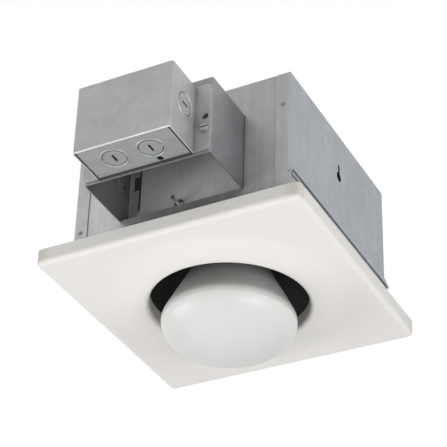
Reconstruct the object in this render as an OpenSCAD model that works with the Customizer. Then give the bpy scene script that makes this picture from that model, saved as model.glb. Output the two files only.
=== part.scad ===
// Recessed ceiling heat lamp with one screw-in reflector lamp.
// The origin is the centre of the grille on the ceiling plane. +Z points up into the ceiling, where the
// housing sits, and -Y points at the junction box. The grille and the lamp's face hang below the plane.

/* [Sheet metal] */
// Thickness of the galvanised sheet
sheet = 1; // [0.8:0.1:1.2]
// Outside radius of the bends
bend_r = 2; // [1.6:0.1:3]
// Outside radius of the side panels' bends
panel_bend = 2; // [1.8:0.1:3.5]

/* [Fits] */
// Gap between pieces that lie beside each other
lay_gap = 0.3; // [0.2:0.05:0.4]
// Radial gap round a shank in its hole
shank_gap = 0.1; // [0.05:0.05:0.2]
// Radial gap between the lamp's base and the socket's shell
thread_gap = 0.3; // [0.2:0.05:0.4]

/* [Grille] */
// Width of the grille along X
grille_w = 264; // [256:1:280]
// Depth of the grille along Y
grille_d = 262; // [256:1:280]
// Height of the grille's rim
grille_h = 16; // [14:0.5:18]
// Thickness of the grille's sheet
grille_sheet = 1.2; // [1:0.1:1.4]
// Radius of the four upright corners
grille_corner_r = 5.5; // [5.5:0.5:9]
// Radius of the soft edge round the face
grille_edge_r = 3; // [2.5:0.25:5]
// Depth that the face is crowned downwards round the hole
crown_h = 5.5; // [3:0.25:7]
// Width of the flat border between the rim's edge and the crown
crown_in = 8; // [6:0.5:12]
// Clear diameter of the lamp hole
throat_d = 150.5; // [146:0.5:156]
// Height of the hole's rolled lip above the face
throat_rise = 9.3; // [8:0.1:11]
// Radius of the roll between the face and the lip
lip_r = 4; // [3:0.25:5]
// Width of the straps on the grille's inner face
hook_w = 18; // [14:0.5:22]
// Reach of those straps from the springs towards the lamp
hook_in = 5; // [4:0.5:6]
// Travel of the grille on its springs
grille_travel = 60; // [40:1:70]

/* [Housing] */
// Width of the housing over its side panels
housing_w = 220; // [215:0.5:224]
// Depth of the housing over the folded tabs
housing_d = 218; // [214:0.5:222]
// Height of the housing's top above the ceiling plane
housing_h = 144; // [138:0.5:150]
// Distance of the housing's middle from the lamp's axis along X
housing_x = 2.5; // [0:0.25:3]
// Height of the housing's lower edges above the ceiling plane
housing_foot = 0.6; // [0.4:0.1:1]
// Width of the side panels' folded tabs
tab_w = 14; // [11:0.5:16]
// Width of the flanges at the foot of the front and back walls
foot_flange = 12; // [10:0.5:13]
// Height of the ledge on the right panel
ledge_z = 35.5; // [33:0.5:39]
// Reach of that ledge beyond the panel
ledge_out = 4.2; // [4:0.1:5]
// Height of the ledge's turned-down lip
ledge_lip = 5; // [4:0.25:7]
// Length that the lip's sloping ends are cut back at its top
ledge_cut = 9.5; // [6:0.5:12]
// Height of the skirt's doubled band that shows below the lip
skirt_lap = 4.5; // [3:0.25:6]
// Width of the skirt's flange under the ledge
skirt_flange = 4.8; // [4:0.1:5]
// Gap between the skirt and the folded tabs beside its ends
skirt_gap = 0.4; // [0.3:0.1:3]
// Reach of the right tabs' foot beyond the panel
flap_out = 1.8; // [1:0.1:2.2]
// Height of those tabs' foot
flap_z = 30.5; // [28:0.5:32]

/* [Keyholes] */
// Diameter of a keyhole's round end
keyhole_d = 10; // [9:0.5:11]
// Width of a keyhole's slot
keyhole_slot = 4; // [3.5:0.1:4.5]
// Height of the round end's centre
keyhole_z = 93.8; // [88:0.2:98]
// Height of the slot's top end
keyhole_top = 107.5; // [104:0.5:112]

/* [Rivets] */
// Diameter of the rivets' heads
rivet_head_d = 4.6; // [4:0.1:5]
// Diameter of the rivets' shanks
rivet_d = 2.8; // [2.4:0.1:3]
// Height of the rivets' heads
rivet_head_h = 0.5; // [0.4:0.1:1]
// Height of the lower rivets
rivet_low_z = 23.6; // [16:0.2:26]
// Height of the upper rivets
rivet_high_z = 106.3; // [100:0.1:125]
// Distance of the top rivets from the middle
rivet_top_y = 65; // [50:1:90]

/* [Liner] */
// Space between the black inner liner and the side panels
side_space = 15; // [14:0.25:17]
// Space between the liner and the front and back walls
end_space = 15; // [14:0.25:17]
// Height of the liner's top above the ceiling plane
liner_h = 100; // [96:0.5:104]
// Thickness of the liner's sheet
liner_sheet = 0.8; // [0.6:0.1:1]
// Radius of the liner's upright corners
liner_corner_r = 10; // [6:0.5:14]
// Width of the liner's foot flange
liner_flange = 12; // [11:0.25:13]
// Distance of the liner's screws from its corners
liner_screw_in = 22; // [18:0.5:28]
// Distance of the liner's screws outside its front and back walls
liner_screw_out = 7.5; // [7:0.25:8]
// Gap between the socket and the hole for it in the liner's roof
socket_hole_gap = 2; // [1:0.25:3]
// Place along X of the port beside the channel's left tab
port_x = -51.5; // [-52.5:0.25:-50.5]
// Width of that port
port_w = 8; // [7:0.25:8.5]
// Height of the port's lower end
port_low = 44.8; // [42:0.2:48]
// Height of the port's upper end
port_high = 90.9; // [88:0.2:94]

/* [Standoff channel] */
// Width of the channel that carries the junction box
channel_w = 126; // [123:0.5:128]
// Place of the channel's middle along X
channel_x = 3.8; // [3:0.1:4.6]
// Distance of the channel's front face from the housing's front
standoff = 61.9; // [56:0.1:68]
// Height of the channel's lower edge
channel_low = 25; // [22:0.1:26]
// Height of the channel's top
channel_high = 106.3; // [104:0.1:109]
// Reach of the channel's roof past the front wall
roof_past = 2; // [1.5:0.25:4]
// Width of the channel's tabs on the liner
channel_tab = 9.6; // [9:0.1:10]
// Width of the notch in the left tab's edge
notch_w = 5.5; // [4.5:0.25:6.5]
// Height of the notch's lower end
notch_low = 66.3; // [62:0.1:70]
// Height of the notch's upper end
notch_high = 82.4; // [78:0.1:86]
// Distance of the left wall's knockout behind the channel's front face
wall_knock_back = 65; // [61:0.25:65]
// Height of that knockout's centre
wall_knock_z = 65; // [60:0.5:70]

/* [Junction box] */
// Width of the junction box
box_w = 96; // [92:0.5:98]
// Place of the box's middle along X
box_x = 2.5; // [0.5:0.1:3.5]
// Depth of the box in front of the channel
box_depth = 43.5; // [38:0.5:46]
// Height of the box's underside
box_low = 27.4; // [27:0.1:31]
// Height of the box's top
box_high = 98.6; // [96:0.1:102]
// Width of the cover's ears
ear_w = 15.5; // [14.5:0.1:17]
// Radius of the ears' outer corners
ear_r = 4; // [2:0.5:6]
// Gap between the cover's sides and the base's plates
box_side_gap = 1.7; // [1:0.1:2]
// Diameter of the knockouts
knock_d = 22.2; // [21:0.1:23]
// Width of the cut round a knockout
knock_cut = 0.7; // [0.5:0.1:0.9]
// Width of the ties that hold a knockout
knock_tie = 3; // [2:0.5:4]
// Length of a knockout's pry slot
pry_l = 9.5; // [8:0.5:11]
// Width of a knockout's pry slot
pry_w = 2.3; // [1.4:0.1:3]
// Distance between the two knockouts in the underside
knock_pitch = 36; // [33:0.5:38]
// Distance of the underside's knockouts from the channel
knock_out = 22; // [17:0.1:24]
// Height of the side knockout's centre above the underside
side_knock_up = 39.8; // [36:0.1:42]
// Distance of the side knockout from the channel
side_knock_out = 19.5; // [16:0.5:21]
// Diameter of the small hole in the underside
small_hole_d = 6; // [4:0.25:7]
// Place of the small hole along X
small_hole_x = 20.4; // [18:0.2:22]
// Distance of the small hole from the channel
small_hole_out = 5.1; // [4.5:0.1:6]
// Distance between the cover's screws
cover_screw_pitch = 115.5; // [115:0.25:117]
// Height of the cover's screws
cover_screw_z = 50.2; // [46:0.2:54]
// Height of the spare holes in the ears
spare_hole_z = 63.6; // [61:0.2:68]
// Diameter of the spare holes
spare_hole_d = 6.2; // [4.5:0.1:6.6]
// Distance of the base's screws from the box's left side
box_screw_in = 15; // [14:0.5:18]
// Distance of the base's screws from the box's top and underside
box_screw_up = 14; // [12:0.5:17]
// Distance of the grounding screw from the box's middle
ground_in = 9; // [6:0.5:10]
// Height of the grounding screw above the box's underside
ground_up = 23.5; // [20:0.5:26]
// Travel of the cover when it comes off
cover_travel = 60; // [45:1:80]

/* [Screws] */
// Diameter of the sheet-metal screws
screw_d = 3.8; // [3.4:0.1:4]
// Width across the flats of their heads
screw_af = 7; // [6:0.1:7.4]
// Diameter of the washer face under a head
screw_flange_d = 8.4; // [8:0.1:9]
// Height of the screws' heads
screw_head_h = 3; // [2.4:0.1:3.4]
// Length of the screws under their heads
screw_l = 8; // [6:0.5:10]
// Diameter of the stud in the channel
stud_d = 4; // [3.5:0.1:4.5]
// Length of that stud outside the liner
stud_out = 13; // [11:0.5:14]
// Place of the stud along X
stud_x = -6; // [-10:0.5:0]
// Height of the stud
stud_z = 39; // [36:0.5:44]
// Width across the flats of the stud's nut
nut_af = 7; // [6.5:0.1:8]
// Height of the stud's nut
nut_h = 2.6; // [2:0.1:3.2]

/* [Wiring] */
// Place of the wire bush along X
bush_x = 24; // [20:0.5:28]
// Height of the wire bush
bush_z = 84; // [80:0.5:86]
// Diameter of the bush's barrel
bush_d = 16; // [15:0.25:17]
// Diameter of the bush's bore
bush_bore = 9; // [8.5:0.25:10]
// Length of the bush's barrel
bush_l = 6; // [5:0.25:8]
// Diameter of a lead
lead_d = 2.8; // [2.4:0.1:3]

/* [Lamp] */
// Largest diameter of the lamp
lamp_d = 127; // [124:0.5:128]
// Length of the lamp from its face to its contact
lamp_l = 165; // [163:0.5:166]
// Depth of the lamp's face below the ceiling plane
lamp_drop = 70.4; // [68:0.2:72]
// Height of the lamp's domed face
dome_h = 31.8; // [28:0.2:34]
// Thickness of the lamp's glass
glass_t = 1; // [0.8:0.1:1.2]
// Radius of the lamp's neck where its cone ends
neck_r = 21; // [19:0.5:23]
// Height of the neck below the base's lower edge
neck_h = 18; // [15:0.5:20]
// Length of the glass stem inside the neck
stem_l = 34; // [28:0.5:40]
// Diameter of that stem
stem_d = 6.8; // [6:0.1:8]
// Distance of the filament below the stem
filament_drop = 16; // [12:0.5:20]
// Radius of the filament's ring
filament_r = 15; // [12:0.5:18]
// Diameter of the coiled filament
filament_d = 2; // [1.6:0.1:2.4]
// Diameter of the wires that hold the filament
wire_d = 0.9; // [0.8:0.1:1.2]
// Diameter over the base's threads
base_d = 26.4; // [26:0.1:26.6]
// Length of the base's threaded shell
base_l = 21; // [20:0.25:23]
// Height of the ceramic ring between shell and contact
base_ring_h = 4.2; // [3.5:0.1:5]
// Diameter of the lamp's end contact
tip_d = 9.6; // [9:0.2:11]
// Height of the lamp's end contact
tip_h = 1.8; // [1.4:0.1:2.2]
// Pitch of the lamp's thread
thread_pitch = 3.629; // [3.6:0.001:3.65]
// Depth of the thread
thread_depth = 0.8; // [0.6:0.05:0.9]

/* [Socket] */
// Outside diameter of the porcelain socket
socket_d = 46; // [44:0.5:50]
// Height of the socket's mouth above the base's lower edge
socket_start = -2; // [-3:0.25:0]
// Thickness of the porcelain above the screw shell
socket_roof = 7; // [6:0.25:9]
// Thickness of the brass screw shell
shell_t = 0.5; // [0.4:0.05:0.6]
// Width of the strap that carries the socket
strap_w = 30; // [26:0.5:34]
// Distance of the strap's legs from the lamp's axis
strap_leg = 34; // [32:0.5:40]
// Length of the strap's feet
strap_foot = 16; // [14:0.5:20]
// Distance of the strap's rivets from its middle line
strap_rivet_y = 7.5; // [5:0.5:10]
// Thickness of the strap
strap_t = 1.2; // [1:0.1:1.5]
// Diameter of the terminals' screws
terminal_d = 3; // [2.6:0.1:3.4]
// Diameter of their heads
terminal_head_d = 6; // [5:0.25:7]
// Height of their heads
terminal_head_h = 2.4; // [2:0.1:3]
// Length of the terminals' screws
terminal_l = 5; // [4:0.25:5]
// Width of the spring contact
leaf_w = 6; // [5:0.25:8]
// Length of the spring contact
leaf_l = 12; // [10:0.5:14]
// Length of the contact's free end
leaf_end = 10; // [8:0.5:11]
// Thickness of the contact's leaf
leaf_t = 0.5; // [0.4:0.05:0.6]
// Height of the folded contact
leaf_h = 3; // [2.5:0.1:4]
// Distance of the socket's screws from the axis
socket_screw_r = 12; // [10.5:0.25:13]

/* [Heat cut-out] */
// Diameter of the thermal cut-out's body
cutout_d = 16; // [14:0.5:18]
// Height of the cut-out's body
cutout_h = 7; // [6:0.5:9]
// Place of the cut-out along X
cutout_x = 40; // [36:0.5:46]
// Place of the cut-out along Y
cutout_y = -48; // [-54:0.5:-44]

/* [Springs] */
// Outside diameter of the grille's springs
spring_d = 8; // [7:0.25:9]
// Diameter of the spring wire
spring_wire = 1; // [0.8:0.1:1.2]
// Number of coils in a spring
spring_turns = 15; // [12:1:16]
// Inside radius of the hooks at a spring's ends
spring_hook_r = 1.7; // [1.5:0.1:2]
// Diameter of the eyes that the hooks hang in
eye_d = 4.4; // [4:0.1:5]
// Width of the hangers' plates on the liner
hanger_w = 14; // [12:0.5:18]
// Height of those plates
hanger_h = 16; // [12:0.5:20]
// Height of the upper eyes above the ceiling plane
hanger_z = 60; // [54:0.5:66]
// Height of the grille's eyes above its face
eye_rise = 5.5; // [5:0.25:7]

/* [Hidden] */
$fn = 48;
cut = 1;
wide = 400;

galvanised = [0.66, 0.67, 0.68];
zinc = [0.78, 0.78, 0.76];

// Places that follow from the sizes above
shell_y = housing_d / 2 - sheet;
shell_top = housing_h - sheet;
panel_x = housing_w / 2;
face_z = -grille_h;
channel_front = housing_d / 2 + standoff;
throat_r = throat_d / 2;
roll_r = throat_r + lip_r;
roll_z = face_z - crown_h;
crown_r = min(grille_w, grille_d) / 2 - grille_corner_r - crown_in;
liner_w = housing_w - 2 * (sheet + side_space);
liner_d = housing_d - 2 * (sheet + end_space);
liner_y = liner_d / 2;
liner_foot = housing_foot + sheet;
liner_half = liner_w / 2;
wall_gap = (housing_w - liner_w) / 2 - sheet;
spring_x = liner_half + wall_gap / 2;
box_front = channel_front + box_depth;
box_right = box_x + box_w / 2;
channel_left = channel_x - channel_w / 2;
channel_right = channel_x + channel_w / 2;
cutout_low = channel_low + sheet + lay_gap;
screws_x = (box_x + channel_x) / 2;

lamp_tip = lamp_l - lamp_drop;
base_top = lamp_tip - tip_h - base_ring_h;
base_low = base_top - base_l;
wide_z = dome_h - lamp_drop;
socket_low = base_low + socket_start;
shell_r = base_d / 2 + thread_gap;
contact_gap = lay_gap;
socket_floor = lamp_tip + contact_gap + leaf_h;
socket_top = socket_floor + socket_roof;
strap_low = socket_top;

// A flat plate with four round corners, lying on its lower face
module round_plate(w, d, h, r) {
    linear_extrude(h) round_rect(w, d, r);
}

module round_rect(w, d, r) {
    square([w - 2 * r, d], center = true);
    square([w, d - 2 * r], center = true);
    for (x = [-1, 1], y = [-1, 1])
        translate([x * (w / 2 - r), y * (d / 2 - r)]) circle(r);
}

// A quarter of a ring, from the +X axis to the +Y axis
module quarter_ring(r, t) {
    intersection() {
        difference() {
            circle(r);
            circle(r - t);
        }
        square(r);
    }
}

// A U of bent sheet: its back lies along y = 0 and its legs run towards +Y
module bent_u(w, leg, t, r) {
    translate([-w / 2 + r, 0]) square([w - 2 * r, t]);
    for (s = [0, 1]) mirror([s, 0]) {
        translate([w / 2 - t, r]) square([t, leg - r]);
        translate([w / 2 - r, r]) mirror([0, 1]) quarter_ring(r, t);
    }
}

// Extrudes an outline drawn in Y and Z along X, centred on x = 0
module along_x(length) {
    rotate([90, 0, 90]) translate([0, 0, -length / 2]) linear_extrude(length) children();
}

// Extrudes an outline drawn in X and Z along Y, centred on y = 0
module along_y(length) {
    rotate([90, 0, 0]) translate([0, 0, -length / 2]) linear_extrude(length) children();
}

// Points for a round rod along -Y, with its start at y = 0
module rod_out(d, l) {
    rotate([90, 0, 0]) cylinder(d = d, h = l);
}

// Cuts a knockout: a round cut with two ties left standing, and a pry slot. Its axis is Z.
module knockout_cut(depth) {
    difference() {
        cylinder(d = knock_d, h = depth, center = true);
        cylinder(d = knock_d - 2 * knock_cut, h = depth + cut, center = true);
        cube([knock_d + cut, knock_tie, depth + cut], center = true);
    }
    cube([pry_w, pry_l, depth], center = true);
}

// A hex-head sheet-metal screw along -Z, with its washer face on z = 0
module hex_screw(l) {
    difference() {
        union() {
            cylinder(d = screw_flange_d, h = 0.8);
            cylinder(d = screw_af / cos(30), h = screw_head_h, $fn = 6);
        }
        translate([0, 0, screw_head_h - 0.7]) cube([screw_af + cut, 1, 2], center = true);
    }
    translate([0, 0, -l + 2]) cylinder(d = screw_d, h = l - 2);
    translate([0, 0, -l]) cylinder(d1 = 0.6, d2 = screw_d, h = 2, $fn = 24);
}

// A pan-head machine screw along -Z, with its washer face on z = 0
module pan_screw(d, head_d, head_h, l) {
    difference() {
        union() {
            cylinder(d = head_d, h = head_h / 2);
            translate([0, 0, head_h / 2]) cylinder(d1 = head_d, d2 = head_d * 0.7, h = head_h / 2);
        }
        translate([0, 0, head_h]) cube([head_d + cut, head_d / 7, head_h], center = true);
    }
    translate([0, 0, -l]) cylinder(d = d, h = l);
}

// A rivet along -Z whose formed head stands on z = 0
module rivet(grip) {
    rotate_extrude() {
        square([rivet_d / 2, rivet_head_h / 2]);
        square([rivet_head_d / 2, rivet_head_h / 3]);
        translate([0, rivet_head_h / 3]) square([rivet_head_d / 2 - 0.5, rivet_head_h * 2 / 3]);
    }
    translate([0, 0, -grip]) cylinder(d = rivet_d, h = grip);
    translate([0, 0, -grip - 0.6]) cylinder(d = rivet_d + 0.8, h = 0.6);
}

// Smooth curve through hand-picked points, with n steps between each pair
function knot(p, i) = p[max(0, min(len(p) - 1, i))];
function on_curve(a, b, c, d, s) =
    0.5 * (2 * b + (c - a) * s + (2 * a - 5 * b + 4 * c - d) * s * s
    + (3 * b - a - 3 * c + d) * s * s * s);
function smooth(p, n) = [
    for (i = [0 : len(p) - 2], k = [0 : n - 1])
        on_curve(knot(p, i - 1), knot(p, i), knot(p, i + 1), knot(p, i + 2), k / n),
    p[len(p) - 1]
];

// A round tube swept along points: the ring's side vector is carried from point to point
function unit(v) = v / norm(v);
function heading(p, i) = unit(knot(p, i + 1) - knot(p, i - 1));
function squared(u, t) = unit(u - (u * t) * t);
function sides_along(p, first) = [
    for (i = 0, u = squared(first, heading(p, 0)); i < len(p);
        i = i + 1, u = i < len(p) ? squared(u, heading(p, i)) : u) u
];
module tube(p, d, n, first) {
    u = sides_along(p, first);
    last = len(p) - 1;
    rings = [
        for (i = [0 : last]) let (v = cross(heading(p, i), u[i]))
            for (k = [0 : n - 1]) p[i] + d / 2 * (cos(360 * k / n) * u[i] + sin(360 * k / n) * v)
    ];
    skin = [
        for (i = [0 : last - 1], k = [0 : n - 1])
            let (a = i * n + k, b = i * n + (k + 1) % n)
                for (f = [[a, a + n, b], [b, a + n, b + n]]) f
    ];
    ends = [
        for (k = [1 : n - 2])
            for (f = [[0, k, k + 1], [last * n, last * n + k + 1, last * n + k]]) f
    ];
    polyhedron(rings, concat(skin, ends));
}

// GRILLE: a square steel pan with soft edges, a rim up to the ceiling and a rolled hole for the lamp

// Section of the rim outwards from a corner's axis: face, soft edge and upright wall
module rim_section(r) {
    difference() {
        rim_outline(r, 0);
        rim_outline(r, grille_sheet);
    }
}

module rim_outline(r, t) {
    e = min(grille_edge_r, r - 0.5);
    translate([0, face_z + t]) square([r - e, grille_h - t + (t > 0 ? cut : 0)]);
    translate([0, face_z + e]) square([r - t, grille_h - e + (t > 0 ? cut : 0)]);
    intersection() {
        translate([r - e, face_z + e]) circle(e - t);
        translate([0, face_z]) square([r, grille_h]);
    }
}

// The crowned face between the flat border and the roll, as points at a height above its underside
crown_steps = 10;
function crown_line(up) = concat([[crown_r + crown_in / 2, face_z + up]], [
    for (i = [0 : crown_steps]) let (s = i / crown_steps)
        [crown_r + s * (roll_r - crown_r), face_z + up - crown_h * s * s * (3 - 2 * s)]
]);
function reversed(p) = [for (i = [len(p) - 1 : -1 : 0]) p[i]];

module grille() {
    x = grille_w / 2 - grille_corner_r;
    y = grille_d / 2 - grille_corner_r;
    color([0.92, 0.91, 0.88]) {
        difference() {
            translate([0, 0, face_z + grille_sheet / 2])
                cube([2 * x, 2 * y, grille_sheet], center = true);
            translate([0, 0, face_z - cut])
                cylinder(r = crown_r, h = grille_sheet + 2 * cut, $fn = 96);
        }
        for (s = [0, 1]) mirror([s, 0, 0]) {
            translate([x, 0, 0]) along_y(2 * y) rim_section(grille_corner_r);
            for (q = [0, 1]) mirror([0, q, 0])
                translate([x, y, 0]) rotate_extrude(angle = 90) rim_section(grille_corner_r);
        }
        for (q = [0, 1]) mirror([0, q, 0])
            translate([0, y, 0]) along_x(2 * x) rim_section(grille_corner_r);
        rotate_extrude($fn = 96) {
            polygon(concat(crown_line(0), reversed(crown_line(grille_sheet))));
            translate([roll_r, roll_z + lip_r]) rotate(180) quarter_ring(lip_r, grille_sheet);
            translate([throat_r, roll_z + lip_r])
                square([grille_sheet, throat_rise + crown_h - lip_r]);
        }
    }
}

// Two straps on the flat border of the grille's inner face, each with an upright eye for a spring
eye_edge = eye_d / 2 + 1.5;
eye_w = 2 * eye_edge + 2.6;

module grille_hooks() {
    for (s = [-1, 1]) {
        eye_x = spring_x + s * housing_x;
        end_x = grille_w / 2 - grille_corner_r - lay_gap;
        color(zinc) mirror([s < 0 ? 1 : 0, 0, 0]) translate([0, 0, face_z + grille_sheet]) difference() {
            union() {
                translate([eye_x - hook_in, -hook_w / 2, 0]) cube([end_x - eye_x + hook_in, hook_w, sheet]);
                translate([eye_x - sheet / 2, -eye_w / 2, 0])
                    cube([sheet, eye_w, eye_rise - grille_sheet + eye_edge]);
            }
            translate([eye_x, 0, eye_rise - grille_sheet]) rotate([0, 90, 0])
                cylinder(d = eye_d, h = 3 * sheet, center = true);
        }
    }
}

// SPRINGS: one open-wound wire each, from the grille's eye to the hanger in the housing
hook_r = spring_hook_r + spring_wire / 2;
hook_reach = eye_d / 2 - spring_wire / 2 - lay_gap + hook_r;
hook_low = face_z + eye_rise + hook_reach;
hook_high = hanger_z - hook_reach;
body_low = hook_low + hook_r + 2;
body_high = hook_high - hook_r - 2;
coil_r = (spring_d - spring_wire) / 2;
coil_steps = 8;
hook_angles = [-30 : 30 : 180];

function hook_arc(z, way) = [for (a = hook_angles) [hook_r * cos(a), 0, z + way * hook_r * sin(a)]];
coil_points = [
    for (i = [0 : coil_steps * spring_turns])
        let (a = 360 * i / coil_steps, f = i / (coil_steps * spring_turns))
            [-coil_r * cos(a), coil_r * sin(a), body_low + f * (body_high - body_low)]
];
spring_path = concat(hook_arc(hook_low, -1), coil_points, reversed(hook_arc(hook_high, 1)));
turn_gap = min([
    for (i = [0 : coil_steps * (spring_turns - 1)], k = [-1 : 1])
        norm(coil_points[i] - coil_points[min(len(coil_points) - 1, i + coil_steps + k)]) - spring_wire
]);
echo(least_gap_between_spring_turns = turn_gap);

module grille_spring(s) {
    color(zinc) translate([housing_x + s * spring_x, 0, 0])
        tube(spring_path, spring_wire, 6, [0, 1, 0]);
}

// Two folded straps on the liner's sides, with the eyes that the springs hang from
module spring_hangers() {
    arm_z = hanger_z + eye_edge;
    color(zinc) for (s = [0, 1]) translate([housing_x, 0, 0]) mirror([s, 0, 0])
        difference() {
            union() {
                translate([liner_half, -hanger_w / 2, arm_z]) cube([sheet, hanger_w, hanger_h]);
                translate([liner_half, -eye_w / 2, arm_z]) cube([wall_gap / 2 + sheet, eye_w, sheet]);
                translate([spring_x - sheet / 2, -eye_w / 2, hanger_z - eye_edge])
                    cube([sheet, eye_w, 2 * eye_edge]);
            }
            translate([spring_x, 0, hanger_z]) rotate([0, 90, 0])
                cylinder(d = eye_d, h = 3 * sheet, center = true);
        }
}

// HOUSING

// The wrapper: front wall, top and back wall in one bent sheet, with flanges at the foot
module housing_shell() {
    height = shell_top - housing_foot;
    color(galvanised) difference() {
        translate([housing_x, 0, 0]) along_x(housing_w - 2 * panel_bend) {
            translate([0, shell_top]) mirror([0, 1]) bent_u(2 * shell_y, height - bend_r, sheet, bend_r);
            for (s = [0, 1]) mirror([s, 0]) {
                translate([shell_y - bend_r, housing_foot + bend_r]) mirror([0, 1])
                    quarter_ring(bend_r, sheet);
                translate([shell_y - foot_flange, housing_foot]) square([foot_flange - bend_r, sheet]);
            }
        }
        translate([channel_left - lay_gap, -shell_y - cut, cutout_low])
            cube([channel_w + 2 * lay_gap, sheet + 2 * cut, channel_high + lay_gap - cutout_low]);
        rivet_holes();
        liner_screw_places() cylinder(d = screw_d + 2 * shank_gap, h = 4 * sheet, center = true);
    }
}

// Places of the rivets: the lower ones only on the left panel, whose tabs reach the foot
module rivet_places() {
    for (s = [-1, 1], y = [-1, 1], z = s < 0 ? [rivet_low_z, rivet_high_z] : [rivet_high_z])
        translate([housing_x + s * (panel_x - tab_w / 2), y * housing_d / 2, z])
            rotate([-y * 90, 0, 0]) children();
    for (s = [-1, 1], y = [-1, 1])
        translate([housing_x + s * (panel_x - tab_w / 2), y * rivet_top_y, housing_h]) children();
}

module rivet_holes() {
    rivet_places() cylinder(d = rivet_d + 2 * shank_gap, h = 6 * sheet, center = true);
}

module panel_rivets() {
    color(zinc) rivet_places() rivet(2 * sheet);
}

// One folded tab with its bend, in an outline whose panel face is x = 0 and whose tab face is y = 0
module tab_outline() {
    translate([-tab_w, 0]) square([tab_w - panel_bend, sheet]);
    translate([-panel_bend, panel_bend]) mirror([0, 1]) quarter_ring(panel_bend, sheet);
}

// A side panel standing at x = 0, with tabs folded round the wrapper's front, back and top
module side_panel(low, tab_low) {
    difference() {
        union() {
            translate([-sheet, -housing_d / 2 + panel_bend, low])
                cube([sheet, housing_d - 2 * panel_bend, housing_h - panel_bend - low]);
            for (q = [0, 1]) mirror([0, q, 0]) translate([0, -housing_d / 2, tab_low])
                linear_extrude(housing_h - panel_bend - sheet - tab_low) tab_outline();
            translate([0, 0, housing_h]) mirror([0, 0, 1])
                along_y(housing_d - 2 * (panel_bend + sheet)) tab_outline();
        }
        translate([0, 0, keyhole_z]) rotate([0, 90, 0])
            cylinder(d = keyhole_d, h = 4 * sheet, center = true);
        translate([-2 * sheet, -keyhole_slot / 2, keyhole_z])
            cube([4 * sheet, keyhole_slot, keyhole_top - keyhole_slot / 2 - keyhole_z]);
        translate([0, 0, keyhole_top - keyhole_slot / 2]) rotate([0, 90, 0])
            cylinder(d = keyhole_slot, h = 4 * sheet, center = true);
    }
}

module side_panel_left() {
    color(galvanised) difference() {
        translate([housing_x - panel_x, 0, 0]) mirror([1, 0, 0]) side_panel(housing_foot, housing_foot);
        rivet_holes();
    }
}

// A sheet that stands along Y, from its outline in Y and Z
module upright(outline) {
    rotate([90, 0, 90]) linear_extrude(sheet) polygon(outline);
}

// The right panel stops at a ledge that steps outwards and turns down over the skirt, with sloping
// ends. Its front and back tabs go on to the foot, flat and a little wider, with a relief cut under
// the bend.
ledge_half = housing_d / 2 - ledge_cut;

module side_panel_right() {
    bend_low = flap_z + sheet;
    corner = housing_d / 2 - panel_bend - ledge_half;
    color(galvanised) difference() {
        translate([housing_x + panel_x, 0, 0]) {
            side_panel(ledge_z - sheet, bend_low);
            translate([-sheet, -ledge_half, ledge_z - sheet])
                cube([ledge_out + sheet, 2 * ledge_half, sheet]);
            translate([ledge_out - sheet, 0, 0]) upright([
                [-housing_d / 2, ledge_z - ledge_lip], [housing_d / 2, ledge_z - ledge_lip],
                [ledge_half, ledge_z], [-ledge_half, ledge_z]
            ]);
            for (q = [0, 1]) mirror([0, q, 0]) {
                translate([-sheet, ledge_half, bend_low])
                    cube([sheet, corner, ledge_z - bend_low]);
                translate([-tab_w, -housing_d / 2, housing_foot]) {
                    cube([tab_w + flap_out, sheet, flap_z - housing_foot]);
                    cube([tab_w - panel_bend, sheet, bend_low - housing_foot]);
                }
            }
        }
        rivet_holes();
    }
}

// The skirt under that ledge: an angle that carries the panel's line down to the ceiling, with its
// upper edge doubled over
module side_skirt_right() {
    top = ledge_z - sheet;
    end = housing_d / 2 - sheet - skirt_gap;
    slope = ledge_cut / ledge_lip;
    top_end = ledge_half + sheet * slope;
    function outline(low) = [
        [-end, low], [end, low], [end, ledge_z - (end - ledge_half) / slope],
        [top_end, top], [-top_end, top], [-end, ledge_z - (end - ledge_half) / slope]
    ];
    color(galvanised) translate([housing_x + panel_x + ledge_out - sheet - lay_gap, 0, 0]) {
        translate([-sheet, 0, 0]) upright(outline(ledge_z - ledge_lip - skirt_lap));
        translate([-2 * sheet, 0, 0]) upright(outline(housing_foot));
        translate([-skirt_flange, -ledge_half + skirt_gap, top - sheet])
            cube([skirt_flange, 2 * (ledge_half - skirt_gap), sheet]);
    }
}

// LINER: a black box round the lamp, open below, with a foot flange on the wrapper's flanges
module liner_screw_places() {
    for (x = [-1, 1], y = [-1, 1])
        translate([housing_x + x * (liner_half - liner_screw_in), 0, housing_foot])
            translate([0, y * (liner_y + liner_screw_out), 0]) children();
}

module heat_liner() {
    t = liner_sheet;
    color([0.16, 0.16, 0.16]) difference() {
        translate([housing_x, 0, 0]) {
            translate([0, 0, liner_foot])
                round_plate(liner_w, liner_d, liner_h - liner_foot, liner_corner_r);
            translate([0, 0, liner_foot])
                round_plate(liner_w + 2 * liner_flange, liner_d + 2 * liner_flange, t, liner_corner_r);
        }
        translate([housing_x, 0, liner_foot - cut])
            round_plate(liner_w - 2 * t, liner_d - 2 * t, liner_h - liner_foot - t + cut,
                liner_corner_r - t);
        translate([0, 0, liner_h]) cylinder(d = socket_d + 2 * socket_hole_gap, h = 4 * t, center = true);
        translate([port_x - port_w / 2, -liner_y - cut, port_low])
            cube([port_w, t + 2 * cut, port_high - port_low]);
        translate([stud_x, -liner_y + t + cut, stud_z]) rod_out(stud_d + 2 * shank_gap, t + 2 * cut);
        channel_rivet_places() cylinder(d = rivet_d + 2 * shank_gap, h = 6 * sheet, center = true);
        roof_rivet_places() cylinder(d = rivet_d + 2 * shank_gap, h = 6 * sheet, center = true);
        liner_screw_places() cylinder(d = screw_d + 2 * shank_gap, h = 6 * sheet, center = true);
        for (s = [-1, 1]) translate([housing_x + s * (spring_x + 4), 0, liner_foot])
            cube([spring_d + 10, spring_d + 8, 6 * t], center = true);
    }
}

module liner_screws() {
    color(zinc) liner_screw_places() mirror([0, 0, 1]) hex_screw(screw_l);
}

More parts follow.
